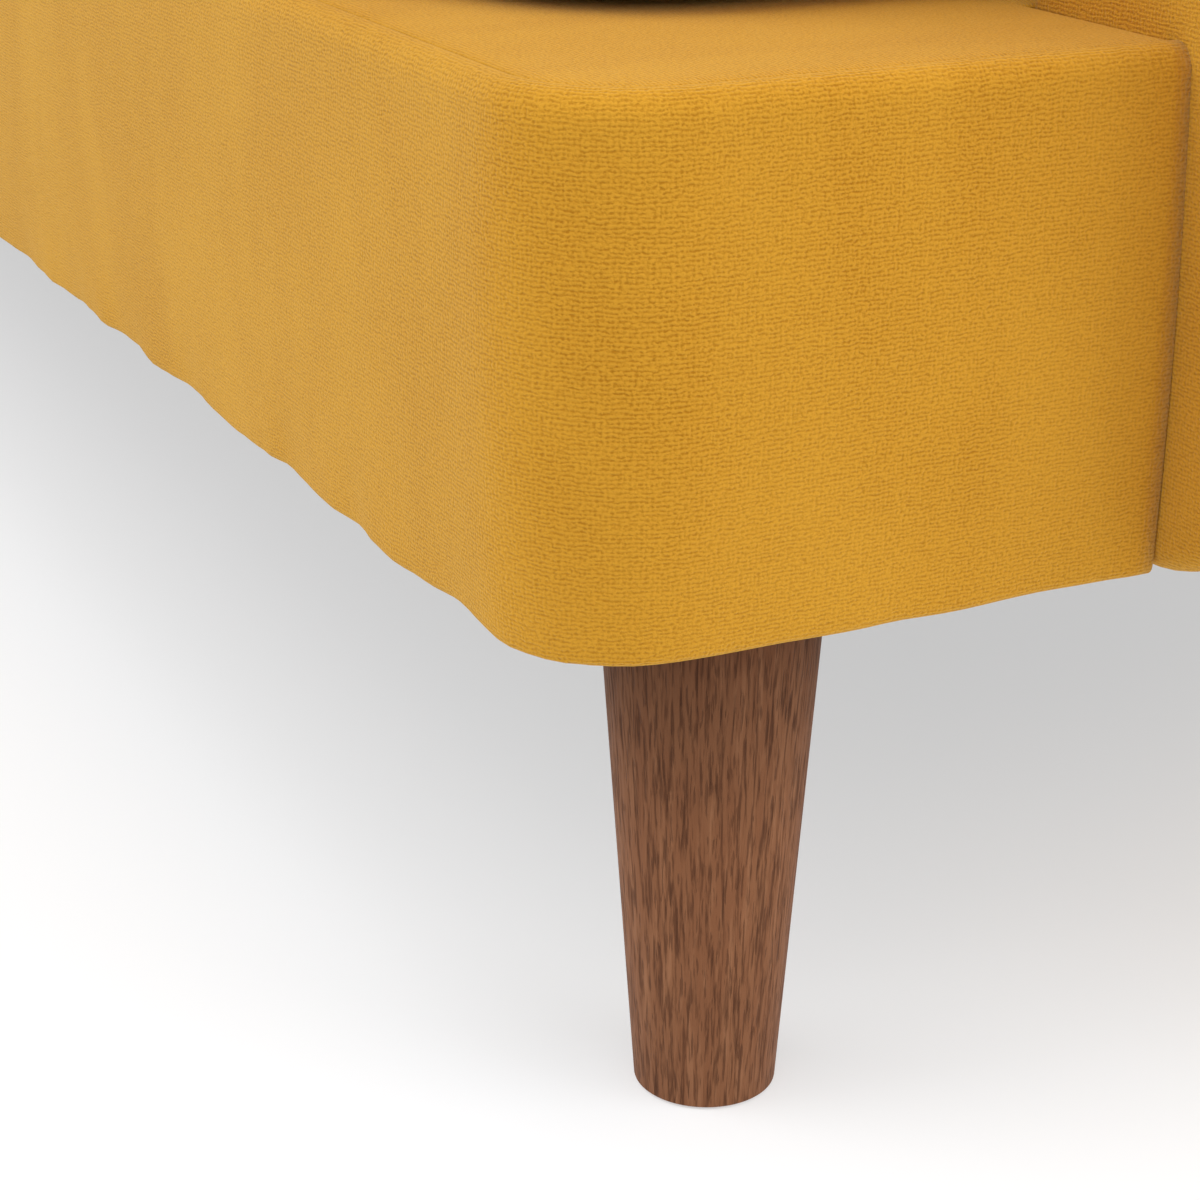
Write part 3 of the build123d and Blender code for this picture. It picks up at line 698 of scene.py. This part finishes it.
end_x = back_high.x
rear_foot_y = back_high.y - tan(RAKE) * (back_high.z - back_low.z)
outline = (
    (back_face_y(FRAME_TOP_Z), FRAME_TOP_Z),
    (back_face_y(back_high.z), back_high.z),
    (back_high.y, back_high.z),
    (rear_foot_y, back_low.z),
    (rear_foot_y - SKIRT, back_low.z),
    (back_face_y(FRAME_TOP_Z) + BACK_THICK - SKIRT, FRAME_TOP_Z),
)
bm = bmesh.new()
bm.faces.new([bm.verts.new((-end_x, y, z)) for y, z in outline])
grown = bmesh.ops.extrude_face_region(bm, geom=bm.faces[:])["geom"]
far_verts = [item for item in grown if isinstance(item, bmesh.types.BMVert)]
bmesh.ops.translate(bm, verts=far_verts, vec=(2 * end_x, 0.0, 0.0))
bmesh.ops.recalc_face_normals(bm, faces=bm.faces[:])
soft_edges = [
    edge for edge in bm.edges
    if edge.calc_face_angle(0.0) > CRISP_ANGLE
    and max(vert.co.z for vert in edge.verts) > FRAME_TOP_Z + 0.03
]
bmesh.ops.bevel(
    bm, geom=soft_edges, offset=BACK_EDGE_R, affect="EDGES", segments=6, profile=0.5,
    material=-1,
)
bmesh.ops.connect_verts_concave(bm, faces=bm.faces[:])
cut_in_cells(bm, (BACK_CELL, 0.0, BACK_CELL))
bm.normal_update()
for vert in bm.verts:
    up = (vert.co.z - back_low.z) / (back_high.z - back_low.z)
    ease = min((1.0 - abs(vert.co.x) / end_x) * 9, 1.0)
    pull = noise.noise(vert.co * 6) * 0.6 + noise.noise(vert.co * 17) * 0.25
    if vert.normal.y > 0:
        vert.co += vert.normal * vert.normal.y * ease * arch(up) * (REAR_SWELL + REAR_PULL * pull)
    if vert.normal.z > 0.3:
        vert.co += vert.normal * vert.normal.z * ease * (BACK_TOP_SWELL + BACK_TOP_PULL * pull)
bm.normal_update()
flat_weave(bm)
back = add_piece("back_upholstery", bm, mustard_velvet)
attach(back, "frame")
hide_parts("back_cover", "back_padding")


# The loose cushions: foam wrapped in fibre, in velvet covers whose top and bottom panels are
# sewn to a band. The seat cushions lie on the deck and pass between the arms. The back
# cushions stand on them and lean on the back. Each kind is filled once, and used on both sides.
START_IN = 0.006  # a cover is cut this much smaller than it fills
CUSHION_EDGE = 0.038
VOXEL = 0.011
FILLING_PRESSURE = 4.0
LAST_FRAME = 20
SWELL_MOST = 0.022
FLAT_BELOW = 0.22  # the share of the thickness that the weight keeps flat
FREE_OVER = 0.4
SAG = 1.5  # how flat the lower edge lies under the weight
SEAM_FROM_FACE = 0.031
SEAM_HALF = 0.0045
SEAM_PULL = 0.0024
SEAT_CORNER = 0.076
BACK_CORNER = 0.066
BACK_CUSHION_TALL = 0.395
BACK_CUSHION_THICK = 0.150
BACK_CUSHION_EDGE = 0.050
SEAT_CREASE = 0.0016
BACK_CREASE = 0.0022
REST_GAP = 0.0005
SIDE_GAP = 0.0004
DECK_GAP = 0.0001
CEILING_GAP = 0.0007
CLEAR_OF_BACK = 0.0012
CLEAR_OF_SEAT = 0.0006


def settled(made):
    """The mesh of an object as its modifiers leave it."""
    finished = made.evaluated_get(bpy.context.evaluated_depsgraph_get())
    return bpy.data.meshes.new_from_object(finished)


def stuffed(name, width, depth, thick, corner):
    """A filled box cushion on its own base: X width, Y depth, Z from 0 up."""
    bm = bmesh.new()
    bmesh.ops.create_cube(bm, size=1.0)
    size = Vector((width - 2 * START_IN, depth - 2 * START_IN, thick - 2 * START_IN))
    bmesh.ops.scale(bm, vec=size, verts=bm.verts)
    bmesh.ops.translate(bm, vec=(0.0, 0.0, size.z / 2), verts=bm.verts)
    stiles = [edge for edge in bm.edges if abs(edge.verts[0].co.z - edge.verts[1].co.z) > size.z / 2]
    bmesh.ops.bevel(
        bm, geom=stiles, offset=corner, affect="EDGES", segments=10, profile=0.5, material=-1,
    )
    bm.normal_update()
    rims = [
        edge for edge in bm.edges
        if abs(abs(edge.link_faces[0].normal.z) - abs(edge.link_faces[1].normal.z)) > 0.9
    ]
    bmesh.ops.bevel(
        bm, geom=rims, offset=CUSHION_EDGE, affect="EDGES", segments=9, profile=0.5, material=-1,
    )
    mesh = bpy.data.meshes.new(name)
    bm.to_mesh(mesh)
    bm.free()
    form = bpy.data.objects.new(name, mesh)
    scene.collection.objects.link(form)
    shell = form.modifiers.new("shell", "REMESH")
    shell.mode = "VOXEL"
    shell.voxel_size = VOXEL
    form.data = settled(form)
    form.modifiers.clear()
    rest = [vert.co.copy() for vert in form.data.vertices]
    cloth = form.modifiers.new("cover", "CLOTH")
    cloth.settings.use_pressure = True
    cloth.settings.uniform_pressure_force = FILLING_PRESSURE
    cloth.settings.effector_weights.gravity = 0.0
    cloth.settings.quality = 5
    cloth.settings.mass = 0.4
    cloth.collision_settings.use_collision = False
    cloth.point_cache.frame_start = 1
    cloth.point_cache.frame_end = LAST_FRAME
    for step in range(1, LAST_FRAME + 1):
        scene.frame_set(step)
    swollen = [vert.co.copy() for vert in settled(form).vertices]
    form.modifiers.clear()
    scene.frame_set(1)
    for vert, start, end in zip(form.data.vertices, rest, swollen):
        move = end - start
        if move.length > SWELL_MOST:
            move = move.normalized() * SWELL_MOST
        share = min(max((start.z / size.z - FLAT_BELOW) / FREE_OVER, 0.0), 1.0)
        vert.co = start + move * share
    fine = form.modifiers.new("fine", "SUBSURF")
    fine.levels = 1
    fine.render_levels = 1
    form.data = settled(form)
    form.modifiers.clear()
    bm = bmesh.new()
    bm.from_mesh(form.data)
    bpy.data.objects.remove(form)
    bm.normal_update()
    top_z = max(vert.co.z for vert in bm.verts)
    for vert in bm.verts:
        off_seam = min(abs(vert.co.z - SEAM_FROM_FACE), abs(vert.co.z - (top_z - SEAM_FROM_FACE)))
        upright = 1.0 - abs(vert.normal.z) ** 3
        if 0.0 < vert.co.z < CUSHION_EDGE:
            vert.co.z = CUSHION_EDGE * (vert.co.z / CUSHION_EDGE) ** SAG
        vert.co -= vert.normal * SEAM_PULL * upright * exp(-(off_seam / SEAM_HALF) ** 2)
    return bm


def creased(bm, amount):
    """Light creases all over a cover, large, middling and small."""
    bm.normal_update()
    for vert in bm.verts:
        crease = noise.noise(vert.co * 8) + 0.5 * noise.noise(vert.co * 19)
        crease += 0.2 * noise.noise(vert.co * 46)
        vert.co += vert.normal * amount * crease


def within(value, low, high):
    """A value kept between two limits."""
    return min(max(value, low), high)


seat_low, seat_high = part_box("right_seat_cushion")
seat_wide = seat_high[0] - seat_low[0]
seat_deep = seat_high[1] - seat_low[1]
seat_thick = seat_high[2] - seat_low[2]
seat_form = stuffed("seat_form", seat_wide, seat_deep, seat_thick, SEAT_CORNER)
lean_low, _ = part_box("right_back_cushion")
back_form = stuffed("back_form", seat_wide, BACK_CUSHION_TALL, BACK_CUSHION_THICK, BACK_CORNER)

# The way forward from the back and the way up along it, and the lower rear corner that a back
# cushion would have if its edges were square.
FORWARD = Vector((0.0, -cos(RAKE), sin(RAKE)))
UP = Vector((0.0, sin(RAKE), cos(RAKE)))
edge_z = lean_low[2] + BACK_CUSHION_EDGE
edge_y = back_face_y(edge_z) - (BACK_CUSHION_EDGE + REST_GAP) / cos(RAKE)
lean_foot = Vector((0.0, edge_y, edge_z)) - FORWARD * BACK_CUSHION_EDGE - UP * BACK_CUSHION_EDGE

# A seat cushion is crowned where it is open, and level under the back cushion.
HIDDEN_FROM_Y = 0.09
CROWN_TO_Y = -0.06
SEAT_CROWN = 0.015
NOSE_SWELL = 0.004

for word in ("left", "right"):
    low, high = (Vector(corner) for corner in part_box(f"{word}_seat_cushion"))
    middle_x = (low.x + high.x) / 2
    middle_y = (low.y + high.y) / 2
    bm = seat_form.copy()
    bmesh.ops.translate(bm, vec=(middle_x, middle_y, low.z), verts=bm.verts)
    creased(bm, SEAT_CREASE)
    for vert in bm.verts:
        share = within((HIDDEN_FROM_Y - vert.co.y) / (HIDDEN_FROM_Y - CROWN_TO_Y), 0.0, 1.0)
        ceiling = high.z - CEILING_GAP + SEAT_CROWN * share * share * (3 - 2 * share)
        vert.co.x = within(vert.co.x, low.x + SIDE_GAP, high.x - SIDE_GAP)
        vert.co.y = within(vert.co.y, low.y - NOSE_SWELL, high.y)
        vert.co.z = within(vert.co.z, low.z + DECK_GAP, ceiling)
    bm.normal_update()
    flat_weave(bm)
    seat = add_piece(f"{word}_seat_cushion_filled", bm, mustard_velvet)
    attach(seat, f"{word}_seat_cushion")
    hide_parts(f"{word}_seat_cushion")

    low, high = (Vector(corner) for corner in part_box(f"{word}_back_cushion"))
    bm = back_form.copy()
    for vert in bm.verts:
        across, tall, deep = vert.co
        start = lean_foot + FORWARD * max(deep, 0.001) + UP * (tall + BACK_CUSHION_TALL / 2)
        vert.co = start + Vector((middle_x, 0.0, 0.0)) + Vector((across, 0.0, 0.0))
    creased(bm, BACK_CREASE)
    for vert in bm.verts:
        away = (vert.co - lean_foot).dot(FORWARD)
        if away < CLEAR_OF_BACK:
            vert.co += FORWARD * (CLEAR_OF_BACK - away)
        vert.co.x = within(vert.co.x, low.x + SIDE_GAP, high.x - SIDE_GAP)
        vert.co.z = max(vert.co.z, low.z + CLEAR_OF_SEAT)
    bm.normal_update()
    flat_weave(bm)
    rest_cushion = add_piece(f"{word}_back_cushion_filled", bm, mustard_velvet)
    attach(rest_cushion, f"{word}_back_cushion")
    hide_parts(f"{word}_back_cushion")

seat_form.free()
back_form.free()
